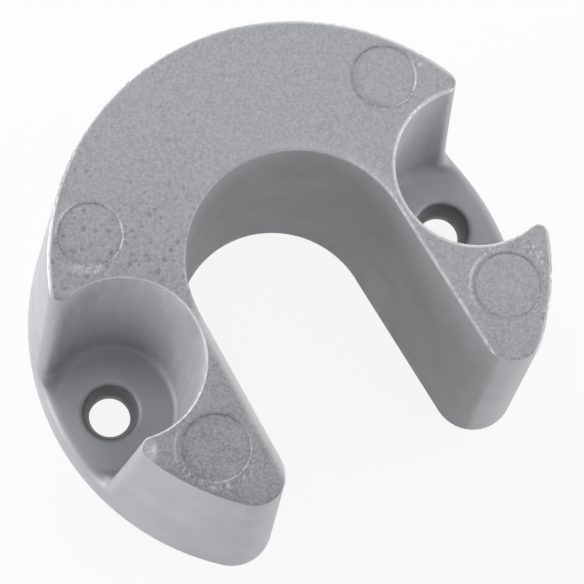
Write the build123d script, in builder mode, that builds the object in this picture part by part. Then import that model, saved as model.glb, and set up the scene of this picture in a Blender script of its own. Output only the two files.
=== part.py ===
from build123d import *
import os
from math import cos, hypot, radians, sin, tan

# A die-cast sacrificial anode in millimetres. It is a horseshoe that slips over a propeller shaft from one
# side and is held by two bolts. The bolted face is on the XY plane, the shaft's axis is Z, and the mouth of
# the slot looks along -Y.

# Body
height = 45.0  # from the bolted face to the free end
draft = 2.4  # degrees, on the body's and the pockets' walls
end_edge_round = 0.4  # edges round the free end
base_edge_break = 0.4  # chamfer round the bolted face

# Shaft slot
slot_radius = 16.3  # at the bolted face
slot_arc_y = 0.3  # centre of the slot's round end
slot_lean = 1.4  # degrees that each side opens towards the mouth
arm_tip_round = 6.8  # ends of the two arms, at the bolted face

# Bolt pockets, each over a bolted flange
web_thickness = 4.8  # wall between the slot's foot and a pocket's foot
flange_thickness = 5.8
pocket_radius = 11.3  # where the pocket's wall meets the flange
pocket_opening = 1.8  # how far the pocket's foot reaches out past the body's foot
pocket_corner_round = 1.8  # between the pocket's wall and the flange
horn_round = 1.9  # horns beside each pocket, and the flange's outer rim

# Bolt holes
bolt_hole_radius = 3.5
straight_bore = 2.0  # length of the bore before it widens
hole_mouth_radius = 4.7
hole_lip_round = 1.2

# Round marks that the ejector pins leave on the free end, two on the body and two on the arms
body_mark_radius = 5.2
body_mark_angle = 36.4  # degrees up from the line through the bolt holes
body_mark_margin = 1.2  # from the mark to the outer edge
arm_mark_radius = 5.4
arm_mark_angle = -35.8
arm_mark_margin = 1.6
mark_depth = 0.3

# How far a cutting solid runs past the face that it opens
overrun = 2.0
# How near an edge's points have to lie to the outer wall to count as on it
on_wall_limit = 0.02
# The most of a thin wall's thickness that the rounding on one of its sides takes
round_share = 0.35

slope = tan(radians(draft))
bolt_x = slot_radius + web_thickness + pocket_radius
base_radius = bolt_x + pocket_radius - pocket_opening
end_radius = base_radius - height * slope
pocket_end_radius = pocket_radius + (height - flange_thickness) * slope
end_web = bolt_x - pocket_end_radius - slot_radius - height * slope
end_round = min(end_edge_round, end_web * round_share)


def wall_radius(z):
    """The outer wall's radius at a height."""
    return base_radius - z * slope


def on_outer_wall(edge):
    """Whether the whole edge lies on the outer wall, below the free end."""
    points = [edge @ (step / 4) for step in range(5)]
    below_end = edge.center().Z < height - end_round
    return below_end and all(abs(hypot(p.X, p.Y) - wall_radius(p.Z)) < on_wall_limit for p in points)


def mark_places(mark_radius, angle, margin):
    """Centres of a pair of ejector marks, one on each side of the slot."""
    reach = end_radius - margin - mark_radius
    x = reach * cos(radians(angle))
    y = reach * sin(radians(angle))
    return [(-x, y), (x, y)]


# One bolt pocket with its bolt hole, as the round solid that it takes out of the body
with BuildPart() as bolt_pocket:
    mouth_height = height + overrun
    mouth_radius = pocket_end_radius + overrun * slope
    with BuildSketch(Plane.XZ):
        with BuildLine():
            Polyline(
                (0, -overrun),
                (bolt_hole_radius, -overrun),
                (bolt_hole_radius, straight_bore),
                (hole_mouth_radius, flange_thickness),
                (pocket_radius, flange_thickness),
                (mouth_radius, mouth_height),
                (0, mouth_height),
                close=True,
            )
        make_face()
        fillet(vertices().sort_by_distance((pocket_radius, flange_thickness))[0], radius=pocket_corner_round)
        fillet(vertices().sort_by_distance((hole_mouth_radius, flange_thickness))[0], radius=hole_lip_round)
    revolve(axis=Axis.Z)


with BuildPart() as anode_casting:
    # Horseshoe outline at the bolted face, and the same outline drawn in by the draft at the free end
    with BuildSketch() as base_outline:
        Circle(base_radius)
        side_x = slot_radius * cos(radians(slot_lean))
        side_y = slot_arc_y - slot_radius * sin(radians(slot_lean))
        mouth_y = -base_radius - overrun
        mouth_x = side_x + (side_y - mouth_y) * tan(radians(slot_lean))
        with BuildLine():
            Line((mouth_x, mouth_y), (side_x, side_y))
            ThreePointArc((side_x, side_y), (0, slot_arc_y + slot_radius), (-side_x, side_y))
            Line((-side_x, side_y), (-mouth_x, mouth_y))
            Line((-mouth_x, mouth_y), (mouth_x, mouth_y))
        make_face(mode=Mode.SUBTRACT)
        arm_corners = vertices().group_by(Axis.Y)[0]
        fillet(arm_corners, radius=arm_tip_round)
    with BuildSketch(Plane.XY.offset(height)):
        add(base_outline.sketch)
        offset(amount=-height * slope, kind=Kind.INTERSECTION, mode=Mode.REPLACE)
    loft(ruled=True)

    # Bolt pockets, then one rounding along the horns and the flange's rim
    with Locations((-bolt_x, 0), (bolt_x, 0)):
        add(bolt_pocket.part, mode=Mode.SUBTRACT)
    horns_and_rims = edges(Select.NEW).filter_by(on_outer_wall)
    fillet(horns_and_rims, radius=horn_round)

    fillet(faces().sort_by(Axis.Z)[-1].edges(), radius=end_round)
    chamfer(faces().sort_by(Axis.Z)[0].outer_wire().edges(), length=base_edge_break)

    # Ejector marks, sunk into the free end
    with BuildSketch(Plane.XY.offset(height)):
        with Locations(mark_places(body_mark_radius, body_mark_angle, body_mark_margin)):
            Circle(body_mark_radius)
        with Locations(mark_places(arm_mark_radius, arm_mark_angle, arm_mark_margin)):
            Circle(arm_mark_radius)
    extrude(amount=-mark_depth, mode=Mode.SUBTRACT)


os.makedirs("parts", exist_ok=True)
anode_casting.part.label = "anode_casting"
export_step(anode_casting.part, "parts/anode_casting.step")
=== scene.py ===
from collections import namedtuple
from math import ceil, cos, floor, radians, sin

import bmesh
import bpy
from mathutils import Euler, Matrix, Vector


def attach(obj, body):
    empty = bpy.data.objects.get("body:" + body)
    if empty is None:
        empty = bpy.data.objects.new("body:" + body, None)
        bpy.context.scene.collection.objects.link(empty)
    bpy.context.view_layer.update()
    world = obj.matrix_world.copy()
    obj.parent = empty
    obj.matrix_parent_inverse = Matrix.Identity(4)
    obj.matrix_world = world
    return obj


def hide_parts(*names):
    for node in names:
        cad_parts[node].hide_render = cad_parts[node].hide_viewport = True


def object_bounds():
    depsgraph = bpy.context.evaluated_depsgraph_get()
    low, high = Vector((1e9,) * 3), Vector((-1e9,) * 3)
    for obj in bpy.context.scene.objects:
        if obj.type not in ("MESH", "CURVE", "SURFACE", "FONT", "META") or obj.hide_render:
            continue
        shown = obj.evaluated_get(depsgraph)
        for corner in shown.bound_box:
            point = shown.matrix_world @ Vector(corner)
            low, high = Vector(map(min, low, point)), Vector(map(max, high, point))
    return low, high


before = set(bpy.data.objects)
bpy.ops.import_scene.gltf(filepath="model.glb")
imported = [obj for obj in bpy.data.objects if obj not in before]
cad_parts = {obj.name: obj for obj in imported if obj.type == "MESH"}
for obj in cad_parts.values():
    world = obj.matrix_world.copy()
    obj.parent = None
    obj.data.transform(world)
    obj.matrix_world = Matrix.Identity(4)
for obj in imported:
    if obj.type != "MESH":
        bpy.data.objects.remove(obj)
cad_low, cad_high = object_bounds()

# Lengths on the casting are in millimetres, and MM turns them into the frame's metres
MM = 0.001

# Sizes of the casting, whose bolted face stands on the floor and whose free end looks up
END_HEIGHT = cad_high.z / MM
END_ROUND = 0.4  # rounding along the free end's edges
BOLT_X = 32.4  # from the shaft's axis to a bolt hole's
SLOT_ARC_Y = 0.3  # centre of the slot's round end
SLOT_HALF_WIDTH = 18.18  # at the free end
SLOT_LEAN = 0.0244  # how fast each side of the slot opens towards its mouth
POCKET_EDGE = 13.15  # from a bolt's axis to the middle of the pocket's rounded edge
SLOT_EDGE = 18.42  # from the slot's middle to the middle of its rounded edge
OUTER_EDGE = 39.8  # from the shaft's axis to the middle of the outer rounded edge

# Reaches down the walls from the free end's plane
EDGE_FULL = 0.42  # where the free end's skin is still full
EDGE_FOOT = 0.9  # where it has given way to the walls' skin
RUB_FOOT = 3.0  # where the rubbed arm's painted highlight ends
DROP_FOOT = 4.0  # where the walls start to follow the end's drop

# Round marks that the ejector pins left in the free end
Mark = namedtuple("Mark", "x y radius")
MARKS = {
    "body right": Mark(27.06, 19.95, 5.2),
    "body left": Mark(-27.06, 19.95, 5.2),
    "arm right": Mark(26.78, -19.31, 5.4),
    "arm left": Mark(-26.78, -19.31, 5.4),
}

# Angles in the plan, in degrees
PICTURE_TURN = -30.4  # the camera's right hand
UPPER_SIDE = PICTURE_TURN + 110.0  # where the side of a pocket's wall with painted shade at its foot stands, seen from its bolt

# Mesh cells of the cast skin
END_CELL = 0.25
EDGE_CELL = 0.6
WALL_CELL = 3.0
FLAT_LIMIT = 0.9999  # how far up or down a flat face's normal looks
FLAT_JOIN = 0.0005  # radians between faces that are joined to one flat face
SAME_PLACE = 1e-6  # metres between vertices that are one
CUT_LIMIT = 1e-8  # metres from a cut at which a vertex counts as on it
SLIVER = 2e-6  # metres across a face that is too thin to keep
SHARP_ANGLE = radians(38)


def cut_faces(casting, faces, axis, place):
    """Cuts faces where a plane square to an axis crosses them, and gives the pieces."""
    across = Vector((0, 0, 0))
    across[axis] = 1
    parts = dict.fromkeys(part for face in faces for part in (*face.verts, *face.edges))
    cut = bmesh.ops.bisect_plane(
        casting, geom=[*parts, *faces], dist=CUT_LIMIT, plane_co=across * place, plane_no=across
    )
    return [part for part in cut["geom"] if isinstance(part, bmesh.types.BMFace)]


def cut_rows(casting, faces, axis, cell, first, last):
    """Cuts faces at whole numbers of cells along an axis, from the middle row outwards."""
    if first > last or not faces:
        return
    middle = (first + last) // 2
    place = middle * cell
    below = []
    above = []
    for face in cut_faces(casting, faces, axis, place):
        side = above if face.calc_center_median()[axis] > place else below
        side.append(face)
    cut_rows(casting, below, axis, cell, first, middle - 1)
    cut_rows(casting, above, axis, cell, middle + 1, last)


def cut_cells(casting, chosen, axis, cell):
    """Cuts the chosen faces into rows along an axis."""
    faces = [face for face in casting.faces if chosen(face)]
    low = min(vert.co[axis] for face in faces for vert in face.verts)
    high = max(vert.co[axis] for face in faces for vert in face.verts)
    cut_rows(casting, faces, axis, cell, floor(low / cell) + 1, ceil(high / cell) - 1)


def is_flat(face):
    """The free end, the floors of its marks, the flanges and the bolted face."""
    return abs(face.normal.z) > FLAT_LIMIT


def near_end(face):
    return face.calc_center_median().z > (END_HEIGHT - END_ROUND) * MM


def is_end(face):
    """The free end and the floors of its marks."""
    return is_flat(face) and near_end(face)


def is_edge(face):
    """The rounding along the free end's edges, and the marks' rims."""
    return near_end(face) and not is_flat(face)


def is_wall(face):
    return not near_end(face) and not is_flat(face)


def skin_mesh():
    """The casting's own mesh, merged and cut into small cells."""
    casting = bmesh.new()
    casting.from_mesh(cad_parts["anode_casting"].data)
    bmesh.ops.remove_doubles(casting, verts=casting.verts, dist=SAME_PLACE)
    casting.normal_update()
    flat_edges = dict.fromkeys(edge for face in casting.faces if is_flat(face) for edge in face.edges)
    bmesh.ops.dissolve_limit(casting, angle_limit=FLAT_JOIN, verts=[], edges=list(flat_edges))
    casting.normal_update()
    for axis in (0, 1):
        cut_cells(casting, is_end, axis, END_CELL * MM)
        cut_cells(casting, is_edge, axis, EDGE_CELL * MM)
        casting.normal_update()
    walls = [face for face in casting.faces if is_wall(face)]
    cut_faces(casting, walls, 2, (END_HEIGHT - EDGE_FOOT) * MM)
    for axis in (2, 1):
        cut_cells(casting, is_wall, axis, WALL_CELL * MM)
    bmesh.ops.dissolve_degenerate(casting, dist=SLIVER, edges=casting.edges)
    bmesh.ops.triangulate(casting, faces=casting.faces)
    mesh = bpy.data.meshes.new("anode_skin")
    casting.to_mesh(mesh)
    casting.free()
    mesh.shade_smooth()
    return mesh


def add(tree, kind, inputs=None, **settings):
    """A new node, with its settings made and its inputs filled or joined."""
    made = tree.nodes.new(kind)
    for name, value in settings.items():
        setattr(made, name, value)
    for place, value in (inputs or {}).items():
        socket = made.inputs[place]
        if isinstance(value, bpy.types.NodeSocket):
            tree.links.new(value, socket)
        else:
            socket.default_value = value
    return made


def calc(tree, operation, *values):
    return add(tree, "ShaderNodeMath", dict(enumerate(values)), operation=operation).outputs[0]


def chain(tree, operation, values):
    """One operation over two or more values, from the first to the last."""
    result = values[0]
    for value in values[1:]:
        result = calc(tree, operation, result, value)
    return result


def total(tree, *values):
    return chain(tree, "ADD", values)


def product(tree, *values):
    return chain(tree, "MULTIPLY", values)


def largest(tree, *values):
    return chain(tree, "MAXIMUM", values)


def up_to(tree, limit, value):
    """The value, or the limit where the value is past it."""
    return calc(tree, "MINIMUM", value, limit)


def difference(tree, value, taken):
    return calc(tree, "SUBTRACT", value, taken)


def one_minus(tree, value):
    return difference(tree, 1.0, value)


def length(tree, u, v):
    return calc(tree, "SQRT", total(tree, product(tree, u, u), product(tree, v, v)))


def scaled(tree, vector, share):
    return add(tree, "ShaderNodeVectorMath", {0: vector, 3: share}, operation="SCALE").outputs[0]


def ramp(tree, value, low, high, start=0.0, end=1.0):
    """Goes smoothly from start to end while the value goes from low to high."""
    inputs = {0: value, 1: low, 2: high, 3: start, 4: end}
    return add(tree, "ShaderNodeMapRange", inputs, interpolation_type="SMOOTHSTEP").outputs[0]


def fall(tree, value, low, high):
    """Goes smoothly from 1 to 0 while the value goes from low to high."""
    return ramp(tree, value, low, high, 1.0, 0.0)


def noise(tree, place, size, detail=2.0, seed=0.0):
    """Cloudy pattern from 0 to 1 with features about this size."""
    scale = calc(tree, "DIVIDE", 1.0, size) if isinstance(size, bpy.types.NodeSocket) else 1 / size
    inputs = {"Vector": place, "W": seed, "Scale": scale, "Detail": detail}
    return add(tree, "ShaderNodeTexNoise", inputs, noise_dimensions="4D").outputs[0]


# An oval spot: its centre, its half axes, and the angle in degrees from X to the first of them
Oval = namedtuple("Oval", "x y half_length half_width turn", defaults=(0.0,))
SPOT_CORE = 0.3  # share of the way to a spot's rim where it starts to fade

SHADED_HORN = Oval(-38.2, 11.6, 4.6, 4.6)  # left horn of the body, whose edge gets painted shade and no painted highlight
PIT_CROWD = Oval(-30, 12, 30, 24)  # where the pits crowd
PIP = Oval(33.3, 18.9, 0.6, 0.45)  # small raised pip by the right horn of the body, made bright with painted highlight
KNOCK = Oval(-36.0, -14.6, 2.6, 1.5, 60)  # knocked horn of the left arm
SMEAR = Oval(-30.0, 15.3, 4.0, 1.4, PICTURE_TURN)  # pale smear below the body's left mark


def spot(tree, x, y, oval):
    """1 in the middle of an oval spot, falling to 0 at its rim."""
    dx = difference(tree, x, oval.x)
    dy = difference(tree, y, oval.y)
    c = cos(radians(oval.turn))
    s = sin(radians(oval.turn))
    along = total(tree, product(tree, dx, c), product(tree, dy, s))
    across = difference(tree, product(tree, dy, c), product(tree, dx, s))
    u = calc(tree, "DIVIDE", along, oval.half_length)
    v = calc(tree, "DIVIDE", across, oval.half_width)
    return fall(tree, length(tree, u, v), SPOT_CORE, 1.0)


# A stretch of a ring round a mark: how far outside the mark's rim it runs, its width, the plan angle in
# degrees that its middle faces, the cosines of the angles from there at which it is gone and at which it
# is full, and its strength
Stretch = namedtuple("Stretch", "mark offset width facing fade strength", defaults=(1.0,))
ALL_ROUND = (-3.0, -2.0)  # cosines that no angle reaches, for a ring that is full all round
RIM_WIDTH = 0.5

# Thin raised lips of metal, which also get painted highlight
LIPS = [
    Stretch("body right", 0.1, 0.3, -23, (0.8, 0.95)),
    Stretch("body left", 0.1, 0.3, -10, (0.6, 0.85)),
    Stretch("body left", 0.15, 0.35, 118, (0.75, 0.93), 1.7),
    Stretch("arm left", 0.1, 0.3, -70, (0.0, 0.6), 0.6),
    Stretch("arm left", 1.1, 0.3, 150, (0.88, 0.96)),
]
BROKEN_LIPS = [Stretch("arm right", 0.7, 0.42, 135, (0.5, 0.8), 2.0)]

# Soft grooves along the rims, which also get painted shade
GROOVES = [
    Stretch("body right", -0.1, 0.6, 150, (-0.7, 0.4)),
    Stretch("body left", -0.1, 0.55, 190, (-0.9, 0.3)),
    Stretch("arm right", 0.0, 0.55, 0, ALL_ROUND, 0.9),
    Stretch("arm left", -0.1, 0.6, 130, (-1.2, 0.0)),
]

# Scuffed patches outside the rims
SCUFFS = [
    Stretch("arm right", 1.7, 2.0, 8, (-0.4, 0.5)),
    Stretch("arm left", 0.8, 0.9, -120, (0.0, 0.6)),
]

# Painted shadow on one side of each mark's floor
SHADOWS = [
    Stretch("body right", -0.5, 0.9, 165, (-0.4, 0.6)),
    Stretch("body left", -0.5, 0.9, 190, (-0.2, 0.7)),
    Stretch("arm left", -0.5, 0.9, 135, (-0.3, 0.7)),
]


class MarkField:
    """How far a point lies from a mark's centre, and on which side of it."""

    def __init__(self, tree, x, y, mark):
        self.tree = tree
        self.radius = mark.radius
        self.across = difference(tree, x, mark.x)
        self.along = difference(tree, y, mark.y)
        self.reach = length(tree, self.across, self.along)

    def ring(self, offset, width):
        """1 on a circle drawn this far outside the rim, falling to 0 across its width."""
        away = difference(self.tree, self.reach, self.radius + offset)
        return fall(self.tree, calc(self.tree, "ABSOLUTE", away), 0.0, width)

    def side(self, facing, gone, full):
        """1 on the side of the mark that looks along an angle in degrees, 0 on the other side."""
        aim_x = product(self.tree, self.across, cos(radians(facing)))
        aim_y = product(self.tree, self.along, sin(radians(facing)))
        aim = calc(self.tree, "DIVIDE", total(self.tree, aim_x, aim_y), self.reach)
        return ramp(self.tree, aim, gone, full)


# The relief's named sizes
RELIEF_SIZES = {
    "Skin Height": 0.045,
    "Skin Grain": 0.9,
    "Pit Depth": 0.1,
    "Pit Spacing": 1.7,
    "Lip Height": 0.05,
    "Groove Depth": 0.07,
    "Nick Depth": 0.015,
    "Wall Wave": 0.006,
    "Seed": 3.0,
}

END_DROP = 0.12  # how far the free end sinks, so that the lips round its marks stay below its plane
FLOOR_RISE = 0.12  # how far the marks' floors rise, to be shallow
FLOOR_DEPTH = (0.2, 0.15)  # under the free end's plane, where a floor's rise is full and where it has ended
FLOOR_MARGIN = (0.02, 0.03)  # outwards from a mark's rim, the same

# Sizes of patterns in the skin
CLOUD_SIZE = 3.5
WAVE_SIZE = 9.0
ROUGH_SIZE = 0.7
FAINT_SIZE = 2.5
NICK_SIZE = 1.2
FLECK_SIZE = 0.45
SPECK_SIZE = 0.5

PIT_RADII = (0.15, 0.5)
PIT_SIDE = (-0.3, 0.08)  # outwards from a pit's radius, from its full depth to its rim
SCUFF_DEPTH = 0.16
KNOCK_DEPTHS = (0.1, 0.3)
ARM_RUB_DEPTH = 0.22
ARM_RUB_REACH = (0.3, 1.8)  # from the slot's edge into the arm
SLOT_RUB_DEPTH = 0.08
SLOT_RUB_REACH = (18.6, 20.2)  # from the middle of the slot's round end

# How far from a bolt's axis the parts of a pocket start and end
BORE_RIM = (4.5, 5.3)
CORNER_START = (9.6, 10.2)
CORNER_END = (11.0, 11.5)
FOOT_START = (8.6, 10.6)
FOOT_END = (12.0, 13.0)
WALL_START = (10.6, 11.4)
WALL_END = (13.2, 14.0)

# The same, upwards from the bolted face
BORE_TOP = (5.2, 5.9)
FLANGE_TOP = (5.6, 5.9)
CORNER_TOP = (7.6, 8.2)
FOOT_FADE = (6.5, 40.0)

POCKET_BACK = (38.8, 39.6)  # from the shaft's axis to where a pocket's wall gives way to the horns
SLOT_WALLS = (19.0, 20.0)  # from the slot's middle to where its walls have ended


class CastFields:
    """Places on the casting, and the masks that its relief and its shades share."""

    def __init__(self, tree, seed):
        self.tree = tree
        self.seed = seed
        self.place = scaled(tree, add(tree, "GeometryNodeInputPosition").outputs[0], 1 / MM)
        self.x, self.y, self.z = add(tree, "ShaderNodeSeparateXYZ", {0: self.place}).outputs
        self.normal = add(tree, "GeometryNodeInputNormal").outputs[0]
        self.up = add(tree, "ShaderNodeSeparateXYZ", {0: self.normal}).outputs[2]
        self.end = ramp(tree, self.z, END_HEIGHT - EDGE_FOOT, END_HEIGHT - EDGE_FULL)
        self.wall = one_minus(tree, self.end)
        self.marks = {name: MarkField(tree, self.x, self.y, mark) for name, mark in MARKS.items()}
        self.rims = total(tree, *[mark.ring(0.0, RIM_WIDTH) for mark in self.marks.values()])
        self.rim_zone = product(tree, up_to(tree, 1.0, product(tree, self.rims, 4.0)), self.end)
        flat = product(tree, self.end, ramp(tree, self.up, 0.9, 0.995))
        self.flat = largest(tree, flat, self.rim_zone)
        edge = product(tree, self.end, fall(tree, self.up, 0.88, 0.985))
        self.edge = product(tree, edge, one_minus(tree, self.rim_zone))
        self.rough = self.noise(ROUGH_SIZE)
        self.scuffs = self.rings(SCUFFS)
        broken = product(tree, self.rings(BROKEN_LIPS), ramp(tree, self.rough, 0.35, 0.6))
        self.lips = total(tree, self.rings(LIPS), broken)
        self.pip = self.spot(PIP)
        self.knock = product(tree, self.spot(KNOCK), self.end)

    def noise(self, size, detail=2.0, seed=None):
        return noise(self.tree, self.place, size, detail, self.seed if seed is None else seed)

    def spot(self, oval):
        return spot(self.tree, self.x, self.y, oval)

    def rings(self, stretches):
        """Sum of stretches of rings round the marks."""
        rings = []
        for part in stretches:
            mark = self.marks[part.mark]
            ring = product(self.tree, mark.ring(part.offset, part.width), part.strength)
            rings.append(product(self.tree, ring, mark.side(part.facing, *part.fade)))
        return total(self.tree, *rings)


def pit_field(cast, spacing):
    """1 in small round pits, which stand in some cells of a random pattern and crowd on the left."""
    tree = cast.tree
    cells = add(
        tree, "ShaderNodeTexVoronoi",
        {"Vector": cast.place, "Scale": calc(tree, "DIVIDE", 1.0, spacing), "Randomness": 1.0},
        voronoi_dimensions="2D",
    )
    chance = add(tree, "ShaderNodeSeparateXYZ", {0: cells.outputs["Color"]}).outputs[0]
    away = product(tree, cells.outputs["Distance"], spacing)
    clouds = ramp(tree, cast.noise(WAVE_SIZE, detail=1.0), 0.4, 0.7, end=0.3)
    crowd = total(tree, clouds, cast.spot(PIT_CROWD))
    luck = total(tree, chance, product(tree, crowd, 0.45))
    radius = ramp(tree, luck, 0.7, 1.5, *PIT_RADII)
    pit = fall(tree, difference(tree, away, radius), *PIT_SIDE)
    return product(tree, pit, cast.flat, ramp(tree, luck, 0.75, 1.05))


def groove_field(cast):
    """1 in the soft grooves along the marks' rims."""
    tree = cast.tree
    faint = ramp(tree, cast.noise(FAINT_SIZE), 0.25, 0.6, start=0.35)
    return product(tree, cast.rings(GROOVES), cast.flat, faint)


def rubbed_arm_and_highlight(cast):
    """1 along the left arm's long edge over the slot, which is rubbed round and gets painted highlight."""
    tree = cast.tree
    slot_side = difference(tree, product(tree, cast.y, SLOT_LEAN), SLOT_HALF_WIDTH)
    near = fall(tree, difference(tree, slot_side, cast.x), *ARM_RUB_REACH)
    on_arm = product(tree, fall(tree, cast.y, -2.0, 4.0), ramp(tree, cast.x, -10.0, -12.0))
    return product(tree, near, on_arm)


def rubbed_slot_end_and_highlight(cast):
    """1 on the right of the slot's round end, where its edge is rubbed and gets painted highlight."""
    tree = cast.tree
    slot_y = difference(tree, cast.y, SLOT_ARC_Y)
    near = fall(tree, length(tree, cast.x, slot_y), *SLOT_RUB_REACH)
    return product(tree, near, ramp(tree, cast.x, 2.0, 8.0), ramp(tree, cast.y, -1.0, 4.0), cast.end)


def skin_depth(cast, given):
    """Cloudy cast skin on the free end, and waves on the drafted walls."""
    tree = cast.tree
    clouds = total(tree, cast.noise(given["Skin Grain"]), cast.noise(CLOUD_SIZE, detail=1.0))
    calm_edge = largest(tree, ramp(tree, cast.up, 0.5, 0.98, start=0.15), cast.rim_zone)
    skin = product(tree, given["Skin Height"], cast.end, clouds, calm_edge)
    off_floor = ramp(tree, cast.z, 0.05, 0.4)
    waves = product(tree, given["Wall Wave"], cast.wall, off_floor, cast.noise(WAVE_SIZE, detail=1.0))
    return total(tree, skin, waves)


def relief_depth(cast, given, pit, groove, arm_rub_and_highlight, slot_rub_and_highlight):
    """How far the surface lies under the solid's, apart from the free end's drop."""
    tree = cast.tree
    nick = ramp(tree, cast.noise(NICK_SIZE), 0.45, 0.75)
    depth = total(
        tree,
        skin_depth(cast, given),
        product(tree, given["Pit Depth"], pit),
        product(tree, cast.scuffs, ramp(tree, cast.rough, 0.3, 0.7), SCUFF_DEPTH),
        product(tree, groove, given["Groove Depth"]),
        product(tree, given["Nick Depth"], cast.edge, nick),
        product(tree, cast.knock, ramp(tree, cast.rough, 0.3, 0.7, *KNOCK_DEPTHS)),
        product(tree, arm_rub_and_highlight, cast.end, ARM_RUB_DEPTH),
        product(tree, slot_rub_and_highlight, SLOT_RUB_DEPTH),
    )
    raised = up_to(tree, 1.0, product(tree, total(tree, cast.lips, cast.pip), cast.flat))
    return difference(tree, depth, product(tree, raised, given["Lip Height"]))


def end_drop(cast):
    """How far the free end sinks, less in the floors of its marks."""
    tree = cast.tree
    near, far = FLOOR_MARGIN
    inside = [fall(tree, mark.reach, mark.radius + near, mark.radius + far) for mark in cast.marks.values()]
    deep, shallow = FLOOR_DEPTH
    sunk = fall(tree, cast.z, END_HEIGHT - deep, END_HEIGHT - shallow)
    floors = product(tree, total(tree, *inside), sunk)
    share = one_minus(tree, product(tree, floors, 1.0 + FLOOR_RISE / END_DROP))
    return product(tree, ramp(tree, cast.z, END_HEIGHT - DROP_FOOT, END_HEIGHT - EDGE_FULL), share, END_DROP)


def relief_move(cast, depth):
    """The way each vertex moves: the free end straight down, and the walls along their normals."""
    tree = cast.tree
    drop = add(tree, "ShaderNodeCombineXYZ", {2: product(tree, end_drop(cast), MM)}).outputs[0]
    upright = {0: cast.end, 4: cast.normal, 5: (0, 0, 1)}
    out = add(tree, "ShaderNodeMix", upright, data_type="VECTOR").outputs[1]
    inward = scaled(tree, out, product(tree, depth, MM))
    move = add(tree, "ShaderNodeVectorMath", {0: drop, 1: inward}, operation="ADD").outputs[0]
    return scaled(tree, move, -1.0)


def highlight_and_bare_field(cast, arm_rub_and_highlight, slot_rub_and_highlight):
    """How bright the free end is made: painted highlight on the lips, the pip, the knocked horn and the
    rubbed edges, and the metal's own bright scuffs and pale smear.
    """
    tree = cast.tree
    flecks = ramp(tree, cast.noise(FLECK_SIZE, detail=1.0), 0.5, 0.68)
    highlight_and_bare = total(
        tree,
        product(tree, up_to(tree, 2.0, cast.lips), cast.flat, 0.38),
        product(tree, cast.pip, 0.8),
        product(tree, cast.knock, total(tree, product(tree, flecks, 0.6), 0.5)),
        product(tree, slot_rub_and_highlight, 0.2),
        product(tree, cast.scuffs, cast.flat, flecks, 0.8),
        product(tree, cast.spot(SMEAR), cast.end, ramp(tree, cast.rough, 0.35, 0.55, 0.12, 0.42)),
    )
    highlight_and_bare = product(tree, up_to(tree, 1.0, highlight_and_bare), cast.end)
    arm_fade = ramp(tree, cast.z, END_HEIGHT - RUB_FOOT, END_HEIGHT - EDGE_FULL)
    return largest(tree, highlight_and_bare, product(tree, arm_rub_and_highlight, arm_fade, 0.9))


def dark_field(cast, pit, groove):
    """How dark the free end is made: painted shade in pits, grooves and rims, on one side of the marks'
    floors and along the left arm's front, and the metal's own dark specks.
    """
    tree = cast.tree
    # Painted shade along the left arm's front edge
    front = product(
        tree,
        ramp(tree, length(tree, cast.x, cast.y), 35.5, OUTER_EDGE),
        ramp(tree, cast.y, -14.0, -20.0),
        ramp(tree, cast.x, -12.0, -14.0),
        cast.end,
        0.45,
    )
    shadows = product(tree, cast.rings(SHADOWS), cast.flat, 0.45)
    # Painted shade over the marks' rims, less where the lips are
    lipless = one_minus(tree, up_to(tree, 1.0, product(tree, cast.lips, 2.0)))
    rims = product(tree, up_to(tree, 1.0, product(tree, cast.rims, 1.3)), cast.end, lipless, 0.6)
    speckle = ramp(tree, cast.noise(SPECK_SIZE, detail=1.0, seed=8.0), 0.48, 0.6)
    specks = product(tree, cast.scuffs, cast.flat, speckle, 1.2)
    return largest(tree, pit, product(tree, groove, 0.8), front, shadows, rims, specks)


def pocket_fields(cast):
    """Painted shade in the bolt bores, the pockets' walls for the draw marks and the painted light, and
    painted shade at the feet of those walls.
    """
    tree = cast.tree
    side = difference(tree, calc(tree, "ABSOLUTE", cast.x), BOLT_X)
    bolt = length(tree, side, cast.y)
    # Painted shade in the bolt bores
    bore = product(tree, fall(tree, bolt, *BORE_RIM), fall(tree, cast.z, *BORE_TOP))

    pocket_wall = product(tree, ramp(tree, bolt, *WALL_START), fall(tree, bolt, *WALL_END), cast.wall)
    drag_and_light = product(tree, pocket_wall, fall(tree, length(tree, cast.x, cast.y), *POCKET_BACK))

    # Painted shade at the foot falls on one side, and is weaker in the right pocket
    across = product(tree, side, calc(tree, "SIGN", cast.x), cos(radians(UPPER_SIDE)))
    along = product(tree, cast.y, sin(radians(UPPER_SIDE)))
    on_side = ramp(tree, calc(tree, "DIVIDE", total(tree, across, along), bolt), 0.0, 0.8)
    share = product(tree, on_side, ramp(tree, cast.x, -20.0, 0.0, 1.0, 0.35))
    above_flange = ramp(tree, cast.z, *FLANGE_TOP)
    foot = product(tree, ramp(tree, bolt, *FOOT_START), fall(tree, bolt, *FOOT_END), above_flange)
    foot = product(tree, foot, ramp(tree, cast.z, *FOOT_FADE, 1.0, 0.3), share)
    corner = product(tree, ramp(tree, bolt, *CORNER_START), fall(tree, bolt, *CORNER_END), above_flange)
    corner = product(tree, corner, fall(tree, cast.z, *CORNER_TOP), 0.6)
    return bore, drag_and_light, largest(tree, foot, corner)


def wall_shade_field(cast, foot):
    """How much painted shade darkens the pockets' feet, the slot's walls and the left horn's edge."""
    tree = cast.tree
    slot_reach = length(tree, cast.x, largest(tree, cast.y, 0.0))
    slot_wall = product(tree, fall(tree, slot_reach, *SLOT_WALLS), cast.wall, 1.15)
    return largest(tree, foot, slot_wall, product(tree, cast.spot(SHADED_HORN), cast.edge))


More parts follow.
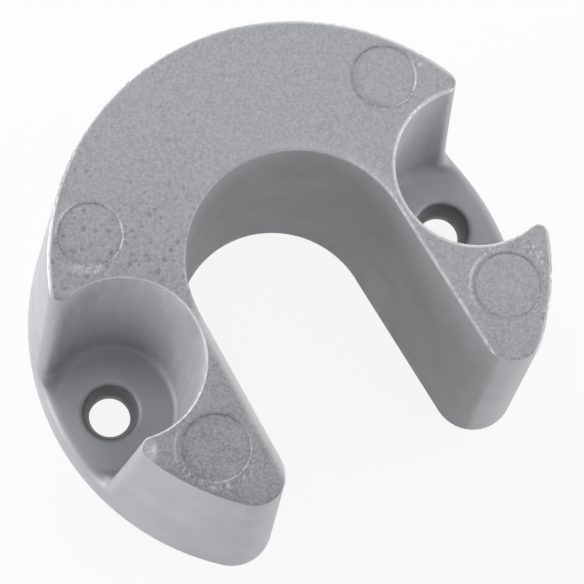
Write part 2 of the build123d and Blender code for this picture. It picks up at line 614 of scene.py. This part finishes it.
def relief_tree(metal):
    """Node tree that gives the casting its skin, pits, mark rims and wear, and stores where painted shade
    and painted highlight go.
    """
    tree = bpy.data.node_groups.new("cast_relief", "GeometryNodeTree")
    tree.interface.new_socket("Geometry", in_out="INPUT", socket_type="NodeSocketGeometry")
    for name in RELIEF_SIZES:
        tree.interface.new_socket(name, in_out="INPUT", socket_type="NodeSocketFloat")
    tree.interface.new_socket("Geometry", in_out="OUTPUT", socket_type="NodeSocketGeometry")
    given = add(tree, "NodeGroupInput").outputs

    cast = CastFields(tree, given["Seed"])
    pit = pit_field(cast, given["Pit Spacing"])
    groove = groove_field(cast)
    arm_rub_and_highlight = rubbed_arm_and_highlight(cast)
    slot_rub_and_highlight = rubbed_slot_end_and_highlight(cast)
    bore, drag_and_light, foot = pocket_fields(cast)
    shades = {
        "end_face": cast.end,
        "pit_shade": dark_field(cast, pit, groove),
        "highlight_and_bare": highlight_and_bare_field(cast, arm_rub_and_highlight, slot_rub_and_highlight),
        "painted_bore_shade": bore,
        "drag_marks_and_light": drag_and_light,
        "painted_wall_shade": wall_shade_field(cast, foot),
    }
    move = relief_move(cast, relief_depth(cast, given, pit, groove, arm_rub_and_highlight, slot_rub_and_highlight))

    shown = given["Geometry"]
    for name, value in shades.items():
        store = {"Geometry": shown, "Name": name, "Value": value}
        shown = add(tree, "GeometryNodeStoreNamedAttribute", store, data_type="FLOAT").outputs[0]
    shown = add(tree, "GeometryNodeSetPosition", {"Geometry": shown, "Offset": move}).outputs[0]
    shown = add(tree, "GeometryNodeRealizeInstances", {"Geometry": shown}).outputs[0]
    shown = add(tree, "GeometryNodeSetMaterial", {"Geometry": shown, "Material": metal}).outputs[0]
    add(tree, "NodeGroupOutput", {"Geometry": shown})
    return tree


# Colours of the cast metal, those of the free end from its lower left to its upper right in the picture,
# where painted light makes it lighter
DARK_GRAIN = ((0.305, 0.309, 0.325, 1), (0.46, 0.466, 0.489, 1))
LIGHT_GRAIN = ((0.485, 0.491, 0.516, 1), (0.605, 0.613, 0.644, 1))
CLOUDED_GRAIN = (0.57, 0.577, 0.606, 1)
WALL_GREYS = ((0.455, 0.46, 0.48, 1), (0.505, 0.511, 0.533, 1))
# Colour of the draw marks, and of the painted light in the left pocket
DRAWN_AND_LIT_METAL = (0.75, 0.757, 0.78, 1)
# Grey of the painted shade, and of the metal's own dark specks
SHADE_AND_SPECK_GREY = (0.2, 0.2, 0.205, 1)
# Colour of the painted highlight, and of the metal's own bright scuffs
HIGHLIGHT_AND_BARE_METAL = (0.88, 0.885, 0.89, 1)
# Grey of the painted shade on the walls
WALL_SHADE_GREY = (0.21, 0.213, 0.224, 1)
# Grey of the painted shade in the bolt bores
BORE_SHADE_GREY = (0.07, 0.07, 0.075, 1)

# How much of such a colour shows where its field is full
CLOUDED_SHARE = 0.3
DRAWN_AND_LIT_SHARE = 0.5
SHADE_AND_SPECK_SHARE = 0.45
HIGHLIGHT_AND_BARE_SHARE = 0.95
WALL_SHADE_SHARE = 0.5
BORE_SHADE_SHARE = 0.75

# Sizes of patterns in the metal's looks
FINE_GRAIN = 0.4
BUMP_GRAIN = 0.35
BEAD_SIZE = 0.8
END_CLOUDS = 4.0
WALL_CLOUDS = 11.0
STREAK_WIDTH = 1.6
STREAK_SQUEEZE = (1.0, 1.0, 0.1)  # makes the streaks ten times as tall as wide

# Half widths of the painted highlight bands along the edges
POCKET_BAND = 0.42
SLOT_BAND = 0.27
OUTER_BAND = 0.5
BAND_RISE = (0.95, 0.65)  # below the free end's plane, from where the bands start to where they are full

WALL_ROUGHNESS = 0.5
END_ROUGHNESS = 0.6
WALL_BUMP = 0.02
END_BUMP = 0.05
METAL_SHARE = 0.3
GLOSS = 0.25


def painted_edge_highlights(tree, x, y):
    """How strong the painted highlight along the free end's rounded edges is, 1 where it is full."""

    def band(reach, middle, half_width, thinning=0.0):
        away = calc(tree, "ABSOLUTE", difference(tree, reach, middle))
        return fall(tree, total(tree, away, thinning), half_width * 0.4, half_width)

    plan = add(tree, "ShaderNodeCombineXYZ", {0: x, 1: y}).outputs[0]
    beads = noise(tree, plan, BEAD_SIZE, seed=4.0)
    side = calc(tree, "ABSOLUTE", x)

    # Along the pockets, thinner and weaker on the left
    pocket_reach = length(tree, difference(tree, side, BOLT_X), y)
    pocket = band(pocket_reach, POCKET_EDGE, POCKET_BAND, ramp(tree, x, -24.0, -14.0, 0.2, 0.0))
    pocket_share = ramp(tree, x, -34.0, -24.0, 0.6, 0.9)
    pocket = product(tree, pocket, pocket_share, ramp(tree, beads, 0.25, 0.5, start=0.6))

    # Along the slot, weaker on the left and at its round end
    slot_y = difference(tree, y, SLOT_ARC_Y)
    lean = product(tree, up_to(tree, 0.0, slot_y), SLOT_LEAN)
    slot_reach = total(tree, length(tree, side, largest(tree, slot_y, 0.0)), lean)
    slot_share = product(tree, ramp(tree, x, -12.0, 14.0, 0.5, 0.9), ramp(tree, y, 8.0, 14.0, 1.0, 0.25))
    slot_beads = ramp(tree, beads, 0.35, 0.6, start=0.15)
    slot = product(tree, band(slot_reach, SLOT_EDGE, SLOT_BAND), slot_share, slot_beads)

    # Along the outer wall, on the left of the body and on the right half
    left = product(tree, ramp(tree, x, -34.0, -26.0, 1.0, 0.2), ramp(tree, y, 2.0, 6.0))
    right = ramp(tree, x, 6.0, 20.0, end=0.8)
    outer = product(tree, band(length(tree, x, y), OUTER_EDGE, OUTER_BAND), largest(tree, left, right))

    return product(tree, largest(tree, pocket, slot, outer), one_minus(tree, spot(tree, x, y, SHADED_HORN)))


def metal_colour(tree, place, shade, cloud, highlight_and_wear):
    """The cast metal's colour from its grain, its draw marks and its wear, with painted shade, painted light
    and painted highlight.
    """

    def blend(share, first, second):
        mix = add(tree, "ShaderNodeMix", {0: share, 6: first, 7: second}, data_type="RGBA")
        return mix.outputs[2]

    # The free end, mottled, with painted light making it lighter towards its upper right in the picture
    x, y = add(tree, "ShaderNodeSeparateXYZ", {0: place}).outputs[:2]
    painted_light_towards_upper_right = ramp(tree, total(tree, product(tree, x, 0.75), product(tree, y, 0.66)), -40.0, 20.0)
    grain = ramp(tree, noise(tree, place, FINE_GRAIN, detail=3.0, seed=1.0), 0.3, 0.7)
    end_colour = blend(grain, blend(painted_light_towards_upper_right, *DARK_GRAIN), blend(painted_light_towards_upper_right, *LIGHT_GRAIN))
    clouded = product(tree, ramp(tree, cloud, 0.35, 0.75), CLOUDED_SHARE)
    end_colour = blend(clouded, end_colour, CLOUDED_GRAIN)

    # The walls, with upright streaks in the pockets and painted light on the slot side of the left pocket's
    # wall
    wall_clouds = noise(tree, place, WALL_CLOUDS, detail=4.0, seed=3.0)
    wall_colour = blend(ramp(tree, wall_clouds, 0.3, 0.7), *WALL_GREYS)
    squeezed = {0: place, 1: STREAK_SQUEEZE}
    drawn = add(tree, "ShaderNodeVectorMath", squeezed, operation="MULTIPLY").outputs[0]
    streaks = ramp(tree, noise(tree, drawn, STREAK_WIDTH, seed=6.0), 0.4, 0.75)
    # Painted light on the slot side of the left pocket's wall
    slot_side = product(tree, ramp(tree, x, -32.0, -24.0, end=0.5), fall(tree, x, -10.0, 10.0))
    streaks = total(tree, product(tree, streaks, 0.5), slot_side)
    wall_colour = blend(product(tree, shade("drag_marks_and_light"), streaks, DRAWN_AND_LIT_SHARE), wall_colour, DRAWN_AND_LIT_METAL)

    colour = blend(shade("end_face"), wall_colour, end_colour)
    # Painted shade in pits, grooves, rims, marks' floors and the left arm's front, and the metal's own dark
    # specks
    colour = blend(product(tree, shade("pit_shade"), SHADE_AND_SPECK_SHARE), colour, SHADE_AND_SPECK_GREY)
    # Painted highlight on the edges, lips, pip, knocked horn and rubs, and the metal's own bright scuffs and
    # smear
    colour = blend(product(tree, highlight_and_wear, HIGHLIGHT_AND_BARE_SHARE), colour, HIGHLIGHT_AND_BARE_METAL)
    # Painted shade at the pockets' feet, on the slot's walls and on the left horn's edge
    colour = blend(product(tree, shade("painted_wall_shade"), WALL_SHADE_SHARE), colour, WALL_SHADE_GREY)
    # Painted shade in the bolt bores
    return blend(product(tree, shade("painted_bore_shade"), BORE_SHADE_SHARE), colour, BORE_SHADE_GREY)


def cast_metal():
    """Dull die-cast metal, rough and pitted on the free end and smoother on the drafted walls."""
    material = bpy.data.materials.new("cast_metal_skin")
    material.use_nodes = True
    tree = material.node_tree
    shader = tree.nodes["Principled BSDF"]
    place = scaled(tree, add(tree, "ShaderNodeTexCoord").outputs["Object"], 1 / MM)

    def shade(name):
        return add(tree, "ShaderNodeAttribute", attribute_name=name).outputs["Fac"]

    x, y, z = add(tree, "ShaderNodeSeparateXYZ", {0: place}).outputs
    # Painted highlight along the free end's edges, joined with the other painted highlight and bright scuffs
    start, full = BAND_RISE
    end_edge = ramp(tree, z, END_HEIGHT - start, END_HEIGHT - full)
    highlight_and_wear = largest(tree, shade("highlight_and_bare"), product(tree, end_edge, painted_edge_highlights(tree, x, y)))
    cloud = noise(tree, place, END_CLOUDS, detail=3.0, seed=2.0)
    tree.links.new(metal_colour(tree, place, shade, cloud, highlight_and_wear), shader.inputs["Base Color"])

    end = shade("end_face")
    uneven = product(tree, difference(tree, cloud, 0.5), 0.2)
    roughness = total(tree, ramp(tree, end, 0.0, 1.0, WALL_ROUGHNESS, END_ROUGHNESS), uneven)
    roughness = difference(tree, roughness, product(tree, highlight_and_wear, 0.12))
    tree.links.new(roughness, shader.inputs["Roughness"])
    shader.inputs["Metallic"].default_value = METAL_SHARE
    shader.inputs["Specular IOR Level"].default_value = GLOSS

    bump_share = ramp(tree, end, 0.0, 1.0, WALL_BUMP, END_BUMP)
    height = product(tree, noise(tree, place, BUMP_GRAIN, detail=3.0, seed=5.0), bump_share)
    bump = add(tree, "ShaderNodeBump", {"Strength": 1.0, "Distance": MM, "Height": height})
    tree.links.new(bump.outputs[0], shader.inputs["Normal"])
    return material


def link_new(name, data):
    """A new object in the scene."""
    made = bpy.data.objects.new(name, data)
    bpy.context.scene.collection.objects.link(made)
    return made


def skin_piece():
    """The casting's visible skin, one closed mesh."""
    cut = link_new("anode_cells", skin_mesh())
    relief = cut.modifiers.new("relief", "NODES")
    relief.node_group = relief_tree(cast_metal())
    for socket in relief.node_group.interface.items_tree:
        if socket.in_out == "INPUT" and socket.name in RELIEF_SIZES:
            relief[socket.identifier] = RELIEF_SIZES[socket.name]
    weighted = cut.modifiers.new("weighted", "WEIGHTED_NORMAL")
    weighted.keep_sharp = True
    cut.data.set_sharp_from_angle(angle=SHARP_ANGLE)
    made = cut.evaluated_get(bpy.context.evaluated_depsgraph_get())
    mesh = bpy.data.meshes.new_from_object(made)
    mesh.name = "anode_skin"
    piece = link_new("anode_skin", mesh)
    bpy.data.objects.remove(cut)
    return piece


skin = skin_piece()
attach(skin, "root")
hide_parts("anode_casting")

# The stage, whose sizes are in metres
FLOOR_HALF = 2.0
FLOOR_GREY = (0.86, 0.86, 0.86, 1)
FLOOR_GLOW = 1.02
NEAR_GLOW_SHARE = 0.87  # the rest of the floor's brightness is lit, so that it keeps the casting's shadow
GLOW_REACH = (0.12, 0.5)  # from the casting's middle to where the floor is wholly white

SKY_RISE = (0.08, 0.35)  # the upward part of a look at the sky where it starts to dim and stops
SKY_DIM = 0.15

LENS = 217.897
SENSOR = 36
CAMERA_PLACE = (-0.118324, -0.093888, 0.581213)
CAMERA_TURN = (14.14999, -5.63742, -30.43028)  # degrees
CAMERA_RANGE = (0.01, 10)

# Soft lamps: angle in the picture from its right hand and rise above the floor in degrees, and power
Lamp = namedtuple("Lamp", "angle rise power")
LAMPS = [Lamp(118, 16, 7.8), Lamp(181, 6, 7.4), Lamp(2, 14, 5.0), Lamp(270, 6, 1.5), Lamp(0, 84, 1.5)]
LAMP_SIZE = 0.8
LAMP_REACH = 1.0
LAMP_AIM = Vector((0, 0, 0.03))


def pale_floor():
    """A pale matt floor that looks white, with the casting's shadow kept."""
    mesh = bpy.data.meshes.new("floor")
    half = FLOOR_HALF
    corners = [(-half, -half, 0), (half, -half, 0), (half, half, 0), (-half, half, 0)]
    mesh.from_pydata(corners, [], [(0, 1, 2, 3)])
    material = bpy.data.materials.new("floor")
    material.use_nodes = True
    tree = material.node_tree
    tree.nodes.remove(tree.nodes["Principled BSDF"])
    ray = add(tree, "ShaderNodeLightPath").outputs
    seen = total(tree, ray["Is Camera Ray"], ray["Is Glossy Ray"], ray["Is Transmission Ray"])
    spread = add(tree, "ShaderNodeTexCoord").outputs["Object"]
    spread = add(tree, "ShaderNodeVectorMath", {0: spread}, operation="LENGTH").outputs["Value"]
    share = product(tree, up_to(tree, 1.0, seen), ramp(tree, spread, *GLOW_REACH, NEAR_GLOW_SHARE, 1.0))
    matt = add(tree, "ShaderNodeBsdfDiffuse", {"Color": FLOOR_GREY}).outputs[0]
    white = add(tree, "ShaderNodeEmission", {"Color": (1, 1, 1, 1), "Strength": FLOOR_GLOW}).outputs[0]
    pale = add(tree, "ShaderNodeMixShader", {0: share, 1: matt, 2: white}).outputs[0]
    tree.links.new(pale, tree.nodes["Material Output"].inputs[0])
    mesh.materials.append(material)
    return link_new("floor", mesh)


def white_sky():
    """A sky that looks white and lights the casting from low down more than from overhead."""
    world = bpy.data.worlds.new("studio")
    bpy.context.scene.world = world
    world.use_nodes = True
    tree = world.node_tree
    aim = add(tree, "ShaderNodeTexCoord").outputs["Generated"]
    rise = add(tree, "ShaderNodeSeparateXYZ", {0: aim}).outputs[2]
    lit = ramp(tree, rise, *SKY_RISE, 1.0, SKY_DIM)
    seen = add(tree, "ShaderNodeLightPath").outputs["Is Camera Ray"]
    background = tree.nodes["Background"].inputs
    background["Color"].default_value = (1, 1, 1, 1)
    tree.links.new(largest(tree, lit, seen), background["Strength"])


def picture_camera():
    view = bpy.data.cameras.new("camera")
    view.sensor_width = SENSOR
    view.lens = LENS
    view.clip_start, view.clip_end = CAMERA_RANGE
    camera = link_new("camera", view)
    camera.location = CAMERA_PLACE
    camera.rotation_euler = Euler([radians(turn) for turn in CAMERA_TURN], "XYZ")
    bpy.context.scene.camera = camera


def soft_lamp(number, lamp):
    """A round lamp that looks at the casting."""
    light = bpy.data.lights.new(f"soft_box_{number}", "AREA")
    light.shape = "DISK"
    light.size = LAMP_SIZE
    light.energy = lamp.power
    made = link_new(f"soft_box_{number}", light)
    turn = radians(lamp.angle + PICTURE_TURN)
    rise = radians(lamp.rise)
    out = Vector((cos(turn) * cos(rise), sin(turn) * cos(rise), sin(rise)))
    made.location = LAMP_AIM + out * LAMP_REACH
    made.rotation_euler = (-out).to_track_quat("-Z", "Y").to_euler()


bench = pale_floor()
white_sky()
picture_camera()
for number, lamp in enumerate(LAMPS):
    soft_lamp(number, lamp)
bpy.context.scene.view_settings.view_transform = "Standard"
